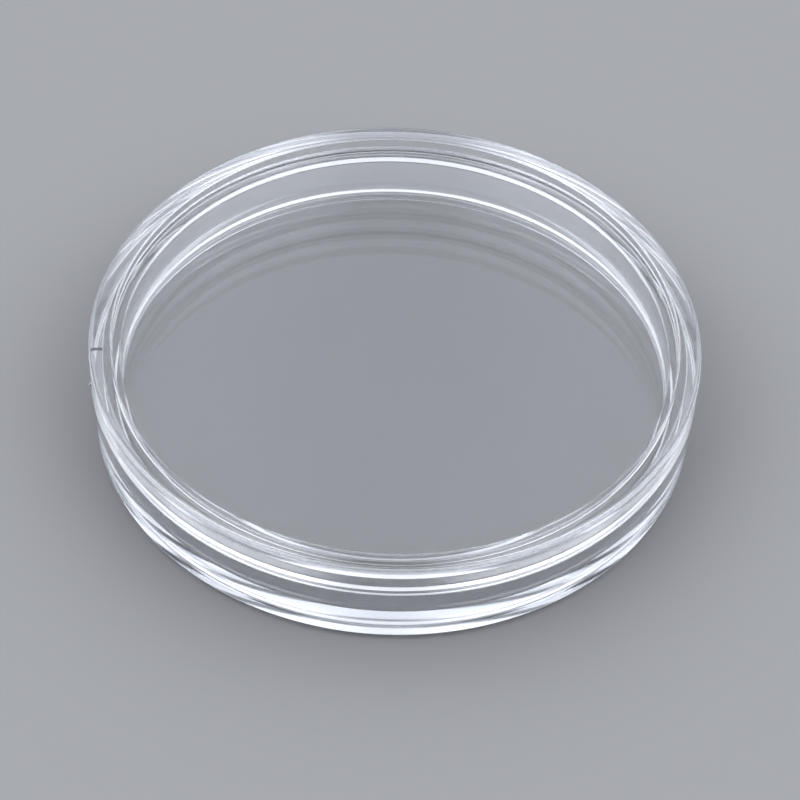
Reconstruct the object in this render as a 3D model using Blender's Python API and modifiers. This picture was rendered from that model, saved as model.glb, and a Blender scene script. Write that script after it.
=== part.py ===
"""Round coin capsule: a clear moulded case in three pieces that hold one large coin.

The base is a thick round floor with a flange at its edge and a ring wall round the coin well.
The middle ring drops over the ring wall and stands on the flange, and it gives the capsule its height.
The lid is a window in a deep rim. The rim stands on the middle ring and fits round the thin lip on
top of the ring wall, and a shallow recess in it takes the foot of the next capsule of a stack.

Units are metres, +Z is up, and the origin is the centre of the underside, where the capsule stands.
"""
import math

import bpy
from mathutils import Vector

MM = 0.001

# Whole capsule
OUTER_RADIUS = 56.5 * MM / 2
OVERALL_HEIGHT = 10.0 * MM
WELL_RADIUS = 50.8 * MM / 2
WELL_DEPTH = 5.0 * MM
PIECE_GAP = 0.3 * MM            # space kept between two pieces wherever they meet

# Lid
STACKING_RECESS_RADIUS = 26.2 * MM
STACKING_RECESS_DEPTH = 0.9 * MM
WINDOW_THICKNESS = 1.3 * MM
LID_RIM_HEIGHT = 3.15 * MM
TOP_EDGE_RADIUS = 0.45 * MM

# Middle ring
RING_BOTTOM = 2.35 * MM
RING_THICKNESS = 1.1 * MM
RING_DRAFT = 0.25 * MM          # how much the outer wall draws in from the lid down to the flange

# Base
FOOT_RADIUS = 26.0 * MM
FOOT_HEIGHT = 0.7 * MM
LIP_WIDTH = 0.5 * MM            # thin lip on top of the ring wall, which centres the lid

# Gate mark, the small stub left on the middle ring where it was filled in its mould
GATE_ANGLE = math.radians(188.8)
GATE_HEIGHT = 6.15 * MM
GATE_RADIUS = 0.25 * MM
GATE_PROUD = 0.25 * MM
GATE_ROOT = 0.4 * MM            # how deep the stub starts inside the ring

# Edges and roundness
EDGE_RADIUS = 0.12 * MM
TURNING_STEPS = 96
STUB_SIDES = 12
SHARP_ANGLE = math.radians(35.0)
MERGE_DISTANCE = 0.001 * MM

# Heights and radii that follow from the sizes above
WINDOW_TOP = OVERALL_HEIGHT - STACKING_RECESS_DEPTH
WINDOW_UNDERSIDE = WINDOW_TOP - WINDOW_THICKNESS
WELL_FLOOR = WINDOW_UNDERSIDE - WELL_DEPTH
LID_BOTTOM = OVERALL_HEIGHT - LID_RIM_HEIGHT
RING_TOP = LID_BOTTOM - PIECE_GAP
RING_INNER_RADIUS = OUTER_RADIUS - RING_THICKNESS
RING_FOOT_RADIUS = OUTER_RADIUS - RING_DRAFT
FLANGE_TOP = RING_BOTTOM - PIECE_GAP
WALL_RADIUS = RING_INNER_RADIUS - PIECE_GAP
WALL_TOP = LID_BOTTOM - PIECE_GAP
LIP_RADIUS = WELL_RADIUS + LIP_WIDTH
LIP_TOP = WINDOW_UNDERSIDE - PIECE_GAP

CLEAR_PLASTIC = (0.93, 0.94, 0.97, 1.0)


def clear_scene():
    for old in list(bpy.data.objects):
        bpy.data.objects.remove(old, do_unlink=True)


def new_collection(name):
    collection = bpy.data.collections.new(name)
    bpy.context.scene.collection.children.link(collection)
    return collection


def clear_plastic(name):
    """Glossy water-clear polystyrene."""
    material = bpy.data.materials.new(name)
    material.use_nodes = True
    shader = material.node_tree.nodes["Principled BSDF"]
    shader.inputs["Base Color"].default_value = CLEAR_PLASTIC
    shader.inputs["Metallic"].default_value = 0.0
    shader.inputs["Roughness"].default_value = 0.04
    shader.inputs["IOR"].default_value = 1.59
    shader.inputs["Transmission Weight"].default_value = 1.0
    return material


def rounded_corner(before, corner, after, radius, steps):
    """Points of the arc that rounds one corner of an outline."""
    towards_before = (before - corner).normalized()
    towards_after = (after - corner).normalized()
    half_angle = towards_before.angle(towards_after) / 2
    middle = (towards_before + towards_after).normalized()
    centre = corner + middle * (radius / math.sin(half_angle))
    reach = radius / math.tan(half_angle)
    start = (corner + towards_before * reach - centre).normalized()
    end = (corner + towards_after * reach - centre).normalized()
    return [centre + start.slerp(end, step / steps) * radius for step in range(steps + 1)]


def rounded_outline(corners):
    """Outline of a section, from corners given as (radius, height, edge radius, steps of its arc)."""
    places = [Vector((radius, height)) for radius, height, _, _ in corners]
    outline = []
    for index, (_, _, edge_radius, steps) in enumerate(corners):
        if edge_radius == 0.0:
            outline.append(places[index])
            continue
        before = places[index - 1]
        after = places[(index + 1) % len(places)]
        outline += rounded_corner(before, places[index], after, edge_radius, steps)
    return outline


def turned_solid(name, corners, collection, material, parent):
    """Solid of revolution about Z. The section runs down its outer side, and closes on itself
    unless it starts and ends on the axis."""
    outline = rounded_outline(corners)
    closed = corners[0][0] > 0.0
    count = len(outline)
    edges = [(index, index + 1) for index in range(count - 1)]
    if closed:
        edges.append((count - 1, 0))
    mesh = bpy.data.meshes.new(name)
    mesh.from_pydata([(point.x, 0.0, point.y) for point in outline], edges, [])
    solid = bpy.data.objects.new(name, mesh)
    collection.objects.link(solid)
    solid.parent = parent
    turn = solid.modifiers.new("turn", "SCREW")
    turn.axis = "Z"
    turn.angle = math.tau
    turn.steps = TURNING_STEPS
    turn.render_steps = TURNING_STEPS
    turn.use_merge_vertices = True
    turn.merge_threshold = MERGE_DISTANCE
    turn.use_smooth_shade = True
    solid.data.materials.append(material)
    return solid


def edge(radius, height):
    """Corner with the small rounding that every moulded edge has."""
    return (radius, height, EDGE_RADIUS, 1)


def sharp(radius, height):
    return (radius, height, 0.0, 0)


def lid_corners():
    return [
        sharp(0.0, WINDOW_TOP),
        sharp(STACKING_RECESS_RADIUS, WINDOW_TOP),
        edge(STACKING_RECESS_RADIUS, OVERALL_HEIGHT),
        (OUTER_RADIUS, OVERALL_HEIGHT, TOP_EDGE_RADIUS, 3),
        edge(OUTER_RADIUS, LID_BOTTOM),
        edge(STACKING_RECESS_RADIUS, LID_BOTTOM),
        sharp(STACKING_RECESS_RADIUS, WINDOW_UNDERSIDE),
        sharp(0.0, WINDOW_UNDERSIDE),
    ]


def middle_ring_corners():
    return [
        edge(RING_INNER_RADIUS, RING_TOP),
        edge(OUTER_RADIUS, RING_TOP),
        edge(RING_FOOT_RADIUS, RING_BOTTOM),
        edge(RING_INNER_RADIUS, RING_BOTTOM),
    ]


def base_corners():
    return [
        sharp(0.0, WELL_FLOOR),
        sharp(WELL_RADIUS, WELL_FLOOR),
        edge(WELL_RADIUS, LIP_TOP),
        edge(LIP_RADIUS, LIP_TOP),
        sharp(LIP_RADIUS, WALL_TOP),
        edge(WALL_RADIUS, WALL_TOP),
        sharp(WALL_RADIUS, FLANGE_TOP),
        edge(RING_FOOT_RADIUS, FLANGE_TOP),
        edge(RING_FOOT_RADIUS, FOOT_HEIGHT),
        sharp(FOOT_RADIUS, FOOT_HEIGHT),
        edge(FOOT_RADIUS, 0.0),
        sharp(0.0, 0.0),
    ]


def gate_stub(guides):
    """Short round stub that points out of the middle ring."""
    length = GATE_ROOT + GATE_PROUD
    middle = OUTER_RADIUS - GATE_ROOT + length / 2
    place = (middle * math.cos(GATE_ANGLE), middle * math.sin(GATE_ANGLE), GATE_HEIGHT)
    bpy.ops.mesh.primitive_cylinder_add(
        vertices=STUB_SIDES, radius=GATE_RADIUS, depth=length, location=place,
        rotation=(0.0, math.pi / 2, GATE_ANGLE))
    stub = bpy.context.object
    stub.name = "gate_stub_guide"
    for other in list(stub.users_collection):
        other.objects.unlink(stub)
    guides.objects.link(stub)
    stub.hide_render = True
    stub.display_type = "WIRE"
    return stub


def join_to(solid, guide):
    join = solid.modifiers.new("gate_mark", "BOOLEAN")
    join.operation = "UNION"
    join.solver = "EXACT"
    join.object = guide


def settle(solid):
    """Applies the modifiers, so that smooth faces and sharp edges can be set on the real mesh."""
    seen = solid.evaluated_get(bpy.context.evaluated_depsgraph_get())
    mesh = bpy.data.meshes.new_from_object(seen)
    solid.modifiers.clear()
    solid.data = mesh
    mesh.name = solid.name
    mesh.shade_smooth()
    mesh.set_sharp_from_angle(angle=SHARP_ANGLE)


def capsule_axis(collection):
    """Empty on the capsule's axis, which the pieces stand on and lift along."""
    axis = bpy.data.objects.new("capsule_axis", None)
    axis.empty_display_size = OUTER_RADIUS / 4
    collection.objects.link(axis)
    return axis


def build():
    clear_scene()
    capsule = new_collection("coin_capsule")
    guides = new_collection("coin_capsule_guides")
    axis = capsule_axis(capsule)
    base = turned_solid("base", base_corners(), capsule, clear_plastic("base_plastic"), axis)
    ring = turned_solid(
        "middle_ring", middle_ring_corners(), capsule, clear_plastic("middle_ring_plastic"), axis)
    lid = turned_solid("lid", lid_corners(), capsule, clear_plastic("lid_plastic"), axis)
    join_to(ring, gate_stub(guides))
    for solid in (base, ring, lid):
        settle(solid)


build()
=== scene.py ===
"""Looks of the round coin capsule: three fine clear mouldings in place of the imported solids.

Lengths are in metres and in the frame's own axes: +Z up, origin at the centre of the underside.
Angles round the capsule are in degrees from +X towards +Y, so 270 is the side nearest the camera.
"""

import math

import bpy
from mathutils import Matrix, Vector


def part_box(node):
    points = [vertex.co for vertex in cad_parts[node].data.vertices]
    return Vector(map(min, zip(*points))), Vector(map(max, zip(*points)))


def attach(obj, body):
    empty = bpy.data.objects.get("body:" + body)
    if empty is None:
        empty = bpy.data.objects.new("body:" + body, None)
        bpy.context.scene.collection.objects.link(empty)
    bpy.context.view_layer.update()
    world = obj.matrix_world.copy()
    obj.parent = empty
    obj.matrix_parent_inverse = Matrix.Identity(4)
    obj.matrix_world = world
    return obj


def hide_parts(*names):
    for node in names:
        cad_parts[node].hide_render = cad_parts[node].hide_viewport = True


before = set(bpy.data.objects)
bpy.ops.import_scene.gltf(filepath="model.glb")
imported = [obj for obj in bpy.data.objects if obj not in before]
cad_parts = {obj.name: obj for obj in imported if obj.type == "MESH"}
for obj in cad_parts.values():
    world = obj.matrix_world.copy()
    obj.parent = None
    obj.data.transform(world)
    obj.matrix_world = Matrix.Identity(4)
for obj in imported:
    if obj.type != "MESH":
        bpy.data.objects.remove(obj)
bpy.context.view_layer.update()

MM = 0.001
lid_low, lid_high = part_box("lid")
ring_low, ring_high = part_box("middle_ring")
_, base_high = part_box("base")

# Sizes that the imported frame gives
OUTER_RADIUS = lid_high.x
OVERALL_HEIGHT = lid_high.z
RING_FOOT_RADIUS = base_high.x
UPPER_SEAM = (lid_low.z + ring_high.z) / 2
CAD_GAP = lid_low.z - ring_high.z
LOWER_SEAM = ring_low.z - CAD_GAP / 2

# Sizes of the section
SEAM_GAP = 0.03 * MM            # the real pieces stand closer than the frame's solids
WELL_RADIUS = 25.4 * MM
RECESS_RADIUS = 26.2 * MM
RECESS_DEPTH = 0.9 * MM
WINDOW_THICKNESS = 1.3 * MM
WELL_DEPTH = 5.0 * MM
WALL_RADIUS = 27.0 * MM         # ring wall of the base, inside the middle ring
FIT_GAP = 0.03 * MM
LIP_RADIUS = 26.15 * MM
FLANGE_DRAFT = 0.02 * MM
FOOT_RADIUS = 26.0 * MM
FOOT_HEIGHT = 0.7 * MM
FOOT_DRAFT = 0.05 * MM

WINDOW_TOP = OVERALL_HEIGHT - RECESS_DEPTH
WINDOW_UNDERSIDE = WINDOW_TOP - WINDOW_THICKNESS
WELL_FLOOR = WINDOW_UNDERSIDE - WELL_DEPTH

# Roundness of the meshes
HOLD = 0.03 * MM                # flat strip kept beside each rounded edge, so faces shade flat
ARC_STEPS = 5
CORNER_POINTS = ARC_STEPS + 3   # points that a rounded corner gives, with its two strips
TURN_STEP = 0.75                # degrees
FINE_STEP = 0.1                 # degrees, round the small marks
GATE_SPAN = 0.8                 # degrees on each side that get fine steps
MARK_SPAN = 0.3
WALL_ROWS = 12                  # extra rows of points under the top of the ring's wall
WALL_ROW_SHARE = 1 / 40         # distance between them, as a share of the wall
SHARP_ANGLE = math.radians(35.0)
ON_AXIS = MM / 1000

# Small marks that moulding leaves, as (angle, height, half width, half height, how proud)
GATE_MARK = (188.8, 6.35 * MM, 0.26 * MM, 0.24 * MM, 0.28 * MM)
FLASH_TICKS = (
    (224.3, 6.3 * MM, 0.07 * MM, 0.35 * MM, 0.05 * MM),
    (266.9, 6.25 * MM, 0.06 * MM, 0.25 * MM, 0.05 * MM),
    (280.9, 6.2 * MM, 0.06 * MM, 0.2 * MM, 0.04 * MM),
)
NOTCH_START = 183.7             # shallow notch in the top of the middle ring
NOTCH_END = 201.5
NOTCH_DEPTH = 0.25 * MM
NOTCH_RAMP = 0.12               # degrees

# Camera
CAMERA_ELEVATION = math.radians(47.1)
CAMERA_ROLL = math.radians(2.22)
CAMERA_DISTANCE = 277.0 * MM
CAMERA_AIM = Vector((0.0, 0.0, 5.0 * MM))
CAMERA_LENS = 133.3
CAMERA_SHIFT = (0.00725, -0.03775)

# Clear plastic
PLASTIC_COLOUR = (0.975, 0.98, 0.99, 1.0)
PLASTIC_IOR = 1.59
DEPTH_COLOUR = (0.86, 0.88, 0.92, 1.0)
DEPTH_DENSITY = 12.0
HAZE_SCALE = 160.0
HAZE_LIMITS = (0.35, 0.8)       # noise values between which the roughness rises
ROUGHNESS_LIMITS = (0.008, 0.035)
FLOW_SCALE = 260.0
FLOW_STRENGTH = 0.03
FLOW_DEPTH = 0.02 * MM

# Floor sheet
FLOOR_COLOUR = (0.29, 0.29, 0.295, 1.0)
FLOOR_HALF_SIDE = 2.0
FLOOR_DROP = 0.02 * MM          # keeps the floor clear of the underside
GRAIN_SCALE = 900.0
GRAIN_STRENGTH = 0.05
GRAIN_DEPTH = 0.05 * MM

# Studio light, as (azimuth, elevation, angle of full light, angle where it ends, radiance)
SOFT_LAMPS = (
    (210.0, 50.0, 8.0, 30.0, 2.6),
    (330.0, 50.0, 8.0, 30.0, 2.5),
    (170.0, 32.0, 6.0, 26.0, 1.35),
    (10.0, 32.0, 6.0, 26.0, 1.35),
    (130.0, 45.0, 8.0, 30.0, 0.85),
    (50.0, 45.0, 8.0, 30.0, 0.85),
    (90.0, 30.0, 6.0, 24.0, 0.9),
    (90.0, 66.0, 10.0, 22.0, 0.75),
)
ROOM_RADIANCE = 0.5
LAMP_COLOUR = (0.91, 0.94, 1.0, 1.0)
MOST_BOUNCES = 96               # the window guides light right across by total reflection


def rounded_corner(before, corner, after, radius):
    """Arc that rounds one corner, with a short flat strip held at each end."""
    towards_before = (before - corner).normalized()
    towards_after = (after - corner).normalized()
    half_angle = towards_before.angle(towards_after) / 2
    middle = (towards_before + towards_after).normalized()
    centre = corner + middle * (radius / math.sin(half_angle))
    reach = radius / math.tan(half_angle)
    start = (corner + towards_before * reach - centre).normalized()
    end = (corner + towards_after * reach - centre).normalized()
    arc = [centre + start.slerp(end, step / ARC_STEPS) * radius for step in range(ARC_STEPS + 1)]
    first = corner + towards_before * (reach + HOLD)
    last = corner + towards_after * (reach + HOLD)
    return [first] + arc + [last]


def rounded_outline(corners):
    """Outline of a section, from corners given as (radius, height, edge radius)."""
    places = [Vector((radius, height)) for radius, height, _ in corners]
    outline = []
    for index, (_, _, edge_radius) in enumerate(corners):
        if edge_radius == 0.0:
            outline.append(places[index])
            continue
        before = places[index - 1]
        after = places[(index + 1) % len(places)]
        outline += rounded_corner(before, places[index], after, edge_radius)
    return outline


def turn_angles(marks):
    """Angles of the mesh's meridians in degrees: even, and close together round each mark."""
    angles = {round(index * TURN_STEP, 4) for index in range(round(360 / TURN_STEP))}
    for angle, half_span in marks:
        count = round(half_span / FINE_STEP)
        angles |= {round(angle + index * FINE_STEP, 4) for index in range(-count, count + 1)}
    return sorted(angles)


def turned_mesh(name, outline, closed, angles, shape=None):
    """Solid of revolution. shape(radius, height, angle) may move a point a little."""
    rings = []
    points = []
    for place in outline:
        if place.x < ON_AXIS:
            rings.append([len(points)])
            points.append((0.0, 0.0, place.y))
            continue
        ring = []
        for angle in angles:
            radius, height = place
            if shape:
                radius, height = shape(radius, height, angle)
            ring.append(len(points))
            turn = math.radians(angle)
            points.append((radius * math.cos(turn), radius * math.sin(turn), height))
        rings.append(ring)
    faces = []
    pairs = list(zip(rings, rings[1:]))
    if closed:
        pairs.append((rings[-1], rings[0]))
    for upper, lower in pairs:
        for index in range(len(angles)):
            following = (index + 1) % len(angles)
            if len(upper) == 1:
                faces.append((upper[0], lower[index], lower[following]))
            elif len(lower) == 1:
                faces.append((upper[index], lower[0], upper[following]))
            else:
                faces.append((upper[index], lower[index], lower[following], upper[following]))
    mesh = bpy.data.meshes.new(name)
    mesh.from_pydata(points, [], faces)
    mesh.update()
    mesh.shade_smooth()
    mesh.set_sharp_from_angle(angle=SHARP_ANGLE)
    return mesh


def place_piece(mesh, node, seed):
    """Puts a finished mesh in the scene for its CAD node, whose body has the same name."""
    piece = bpy.data.objects.new(mesh.name, mesh)
    bpy.context.scene.collection.objects.link(piece)
    mesh.materials.append(clear_plastic(mesh.name + "_clear", seed))
    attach(piece, node)
    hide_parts(node)


def bump_shape(distance):
    """Smooth hill from 1 at the middle to 0 at distance 1."""
    return 0.0 if distance >= 1.0 else (1.0 - distance * distance) ** 2


def lid_outline():
    low = UPPER_SEAM + SEAM_GAP / 2
    return rounded_outline([
        (0.0, WINDOW_TOP, 0.0),
        (RECESS_RADIUS, WINDOW_TOP, 0.12 * MM),
        (RECESS_RADIUS, OVERALL_HEIGHT, 0.15 * MM),
        (OUTER_RADIUS, OVERALL_HEIGHT, 0.45 * MM),
        (OUTER_RADIUS, low, 0.06 * MM),
        (RECESS_RADIUS, low, 0.1 * MM),
        (RECESS_RADIUS, WINDOW_UNDERSIDE, 0.1 * MM),
        (0.0, WINDOW_UNDERSIDE, 0.0),
    ])


def ring_outline():
    """Section of the middle ring. Its outer wall has extra rows near the top for the small marks."""
    top = UPPER_SEAM - SEAM_GAP / 2
    bottom = LOWER_SEAM + SEAM_GAP / 2
    inner = WALL_RADIUS + FIT_GAP
    outer = ring_high.x
    outline = rounded_outline([
        (inner, top, 0.08 * MM),
        (outer, top, 0.06 * MM),
        (RING_FOOT_RADIUS, bottom, 0.1 * MM),
        (inner, bottom, 0.08 * MM),
    ])
    wall_start = 2 * CORNER_POINTS
    above = outline[wall_start - 1]
    below = outline[wall_start]
    rows = [above.lerp(below, row * WALL_ROW_SHARE) for row in range(1, WALL_ROWS + 1)]
    return outline[:wall_start] + rows + outline[wall_start:]


def base_outline():
    wall_top = UPPER_SEAM - SEAM_GAP / 2
    flange_top = LOWER_SEAM - SEAM_GAP / 2
    return rounded_outline([
        (0.0, WELL_FLOOR, 0.0),
        (WELL_RADIUS, WELL_FLOOR, 0.1 * MM),
        (WELL_RADIUS, WINDOW_UNDERSIDE - SEAM_GAP, 0.08 * MM),
        (LIP_RADIUS, WINDOW_UNDERSIDE - SEAM_GAP, 0.08 * MM),
        (LIP_RADIUS, wall_top, 0.05 * MM),
        (WALL_RADIUS, wall_top, 0.08 * MM),
        (WALL_RADIUS, flange_top, 0.05 * MM),
        (RING_FOOT_RADIUS, flange_top, 0.1 * MM),
        (RING_FOOT_RADIUS - FLANGE_DRAFT, FOOT_HEIGHT, 0.15 * MM),
        (FOOT_RADIUS, FOOT_HEIGHT, 0.1 * MM),
        (FOOT_RADIUS - FOOT_DRAFT, 0.0, 0.15 * MM),
        (0.0, 0.0, 0.0),
    ])


def ring_shape(radius, height, angle):
    """Moves points of the middle ring for its gate mark, flash ticks and shallow notch."""
    mid_radius = (WALL_RADIUS + OUTER_RADIUS) / 2
    if radius > mid_radius:
        for mark_angle, mark_height, half_width, half_height, proud in (GATE_MARK,) + FLASH_TICKS:
            across = math.radians(angle - mark_angle) * OUTER_RADIUS / half_width
            along = (height - mark_height) / half_height
            radius += proud * bump_shape(math.hypot(across, along))
    into_notch = min(angle - NOTCH_START, NOTCH_END - angle) / NOTCH_RAMP
    share = min(max(into_notch + 0.5, 0.0), 1.0)
    if share > 0.0:
        top = UPPER_SEAM - SEAM_GAP / 2
        middle = (UPPER_SEAM + LOWER_SEAM) / 2
        height -= NOTCH_DEPTH * share * min(max((height - middle) / (top - middle), 0.0), 1.0)
    return radius, height


def clear_plastic(name, seed):
    """Water-clear polystyrene with faint flow marks, patches of haze and a little absorption."""
    material = bpy.data.materials.new(name)
    material.use_nodes = True
    nodes = material.node_tree.nodes
    link = material.node_tree.links.new
    shader = nodes["Principled BSDF"]
    shader.inputs["Base Color"].default_value = PLASTIC_COLOUR
    shader.inputs["IOR"].default_value = PLASTIC_IOR
    shader.inputs["Transmission Weight"].default_value = 1.0
    depth = nodes.new("ShaderNodeVolumeAbsorption")
    depth.inputs["Color"].default_value = DEPTH_COLOUR
    depth.inputs["Density"].default_value = DEPTH_DENSITY
    link(depth.outputs["Volume"], nodes["Material Output"].inputs["Volume"])
    place = nodes.new("ShaderNodeTexCoord")

    haze = nodes.new("ShaderNodeTexNoise")
    haze.inputs["Scale"].default_value = HAZE_SCALE
    haze.inputs["Detail"].default_value = 3.0
    link(place.outputs["Object"], haze.inputs["Vector"])
    roughness = nodes.new("ShaderNodeMapRange")
    roughness.inputs["From Min"].default_value = HAZE_LIMITS[0]
    roughness.inputs["From Max"].default_value = HAZE_LIMITS[1]
    roughness.inputs["To Min"].default_value = ROUGHNESS_LIMITS[0]
    roughness.inputs["To Max"].default_value = ROUGHNESS_LIMITS[1]
    link(haze.outputs["Fac"], roughness.inputs["Value"])
    link(roughness.outputs["Result"], shader.inputs["Roughness"])

    flow = nodes.new("ShaderNodeTexNoise")
    flow.noise_dimensions = "4D"
    flow.inputs["W"].default_value = seed
    flow.inputs["Scale"].default_value = FLOW_SCALE
    flow.inputs["Detail"].default_value = 2.0
    link(place.outputs["Object"], flow.inputs["Vector"])
    bump = nodes.new("ShaderNodeBump")
    bump.inputs["Strength"].default_value = FLOW_STRENGTH
    bump.inputs["Distance"].default_value = FLOW_DEPTH
    link(flow.outputs["Fac"], bump.inputs["Height"])
    link(bump.outputs["Normal"], shader.inputs["Normal"])
    return material


def floor_material():
    """Plain pale studio sheet with a barely seen grain."""
    material = bpy.data.materials.new("studio_sheet")
    material.use_nodes = True
    nodes = material.node_tree.nodes
    link = material.node_tree.links.new
    shader = nodes["Principled BSDF"]
    shader.inputs["Base Color"].default_value = FLOOR_COLOUR
    shader.inputs["Roughness"].default_value = 0.7
    shader.inputs["Specular IOR Level"].default_value = 0.2
    grain = nodes.new("ShaderNodeTexNoise")
    grain.inputs["Scale"].default_value = GRAIN_SCALE
    bump = nodes.new("ShaderNodeBump")
    bump.inputs["Strength"].default_value = GRAIN_STRENGTH
    bump.inputs["Distance"].default_value = GRAIN_DEPTH
    link(grain.outputs["Fac"], bump.inputs["Height"])
    link(bump.outputs["Normal"], shader.inputs["Normal"])
    return material


def make_floor():
    side = FLOOR_HALF_SIDE
    mesh = bpy.data.meshes.new("floor")
    mesh.from_pydata(
        [(-side, -side, 0.0), (side, -side, 0.0), (side, side, 0.0), (-side, side, 0.0)],
        [], [(0, 1, 2, 3)])
    floor = bpy.data.objects.new("floor", mesh)
    floor.location.z = -FLOOR_DROP
    bpy.context.scene.collection.objects.link(floor)
    mesh.materials.append(floor_material())


def direction(azimuth, elevation):
    """Unit vector towards a place in the studio, from its azimuth and elevation in degrees."""
    turn, rise = math.radians(azimuth), math.radians(elevation)
    return (math.cos(turn) * math.cos(rise), math.sin(turn) * math.cos(rise), math.sin(rise))


def make_studio():
    """World of an even room with soft-edged lamps, so that the plastic shows no hard light edges."""
    world = bpy.data.worlds.new("studio")
    bpy.context.scene.world = world
    world.use_nodes = True
    nodes = world.node_tree.nodes
    link = world.node_tree.links.new
    place = nodes.new("ShaderNodeTexCoord")
    total = None
    for azimuth, elevation, inner, outer, radiance in SOFT_LAMPS:
        facing = nodes.new("ShaderNodeVectorMath")
        facing.operation = "DOT_PRODUCT"
        facing.inputs[1].default_value = direction(azimuth, elevation)
        link(place.outputs["Generated"], facing.inputs[0])
        lamp = nodes.new("ShaderNodeMapRange")
        lamp.interpolation_type = "SMOOTHSTEP"
        lamp.inputs["From Min"].default_value = math.cos(math.radians(outer))
        lamp.inputs["From Max"].default_value = math.cos(math.radians(inner))
        lamp.inputs["To Max"].default_value = radiance
        link(facing.outputs["Value"], lamp.inputs["Value"])
        if total is None:
            total = lamp.outputs["Result"]
            continue
        both = nodes.new("ShaderNodeMath")
        both.operation = "ADD"
        link(total, both.inputs[0])
        link(lamp.outputs["Result"], both.inputs[1])
        total = both.outputs["Value"]
    room = nodes.new("ShaderNodeMath")
    room.operation = "ADD"
    room.inputs[1].default_value = ROOM_RADIANCE
    link(total, room.inputs[0])
    background = nodes["Background"]
    background.inputs["Color"].default_value = LAMP_COLOUR
    link(room.outputs["Value"], background.inputs["Strength"])


def make_camera():
    data = bpy.data.cameras.new("camera")
    data.lens = CAMERA_LENS
    data.sensor_width = 36.0
    data.shift_x, data.shift_y = CAMERA_SHIFT
    data.clip_start = 0.01
    camera = bpy.data.objects.new("camera", data)
    bpy.context.scene.collection.objects.link(camera)
    back = Vector((0.0, -math.cos(CAMERA_ELEVATION), math.sin(CAMERA_ELEVATION)))
    place = Matrix.Translation(CAMERA_AIM + back * CAMERA_DISTANCE)
    tilt = Matrix.Rotation(math.pi / 2 - CAMERA_ELEVATION, 4, "X")
    roll = Matrix.Rotation(CAMERA_ROLL, 4, "Z")
    camera.matrix_world = place @ tilt @ roll
    bpy.context.scene.camera = camera


def make_capsule():
    plain = turn_angles([])
    marked = turn_angles(
        [(GATE_MARK[0], GATE_SPAN), (NOTCH_START, MARK_SPAN), (NOTCH_END, MARK_SPAN)]
        + [(tick[0], MARK_SPAN) for tick in FLASH_TICKS])
    base = turned_mesh("base_moulding", base_outline(), False, plain)
    ring = turned_mesh("middle_ring_moulding", ring_outline(), True, marked, ring_shape)
    lid = turned_mesh("lid_moulding", lid_outline(), False, plain)
    place_piece(base, "base", 1.0)
    place_piece(ring, "middle_ring", 2.0)
    place_piece(lid, "lid", 3.0)


make_camera()
make_studio()
make_floor()
make_capsule()
bpy.context.scene.view_settings.view_transform = "Standard"
bpy.context.scene.cycles.max_bounces = MOST_BOUNCES
bpy.context.scene.cycles.transmission_bounces = MOST_BOUNCES
bpy.context.scene.cycles.glossy_bounces = MOST_BOUNCES
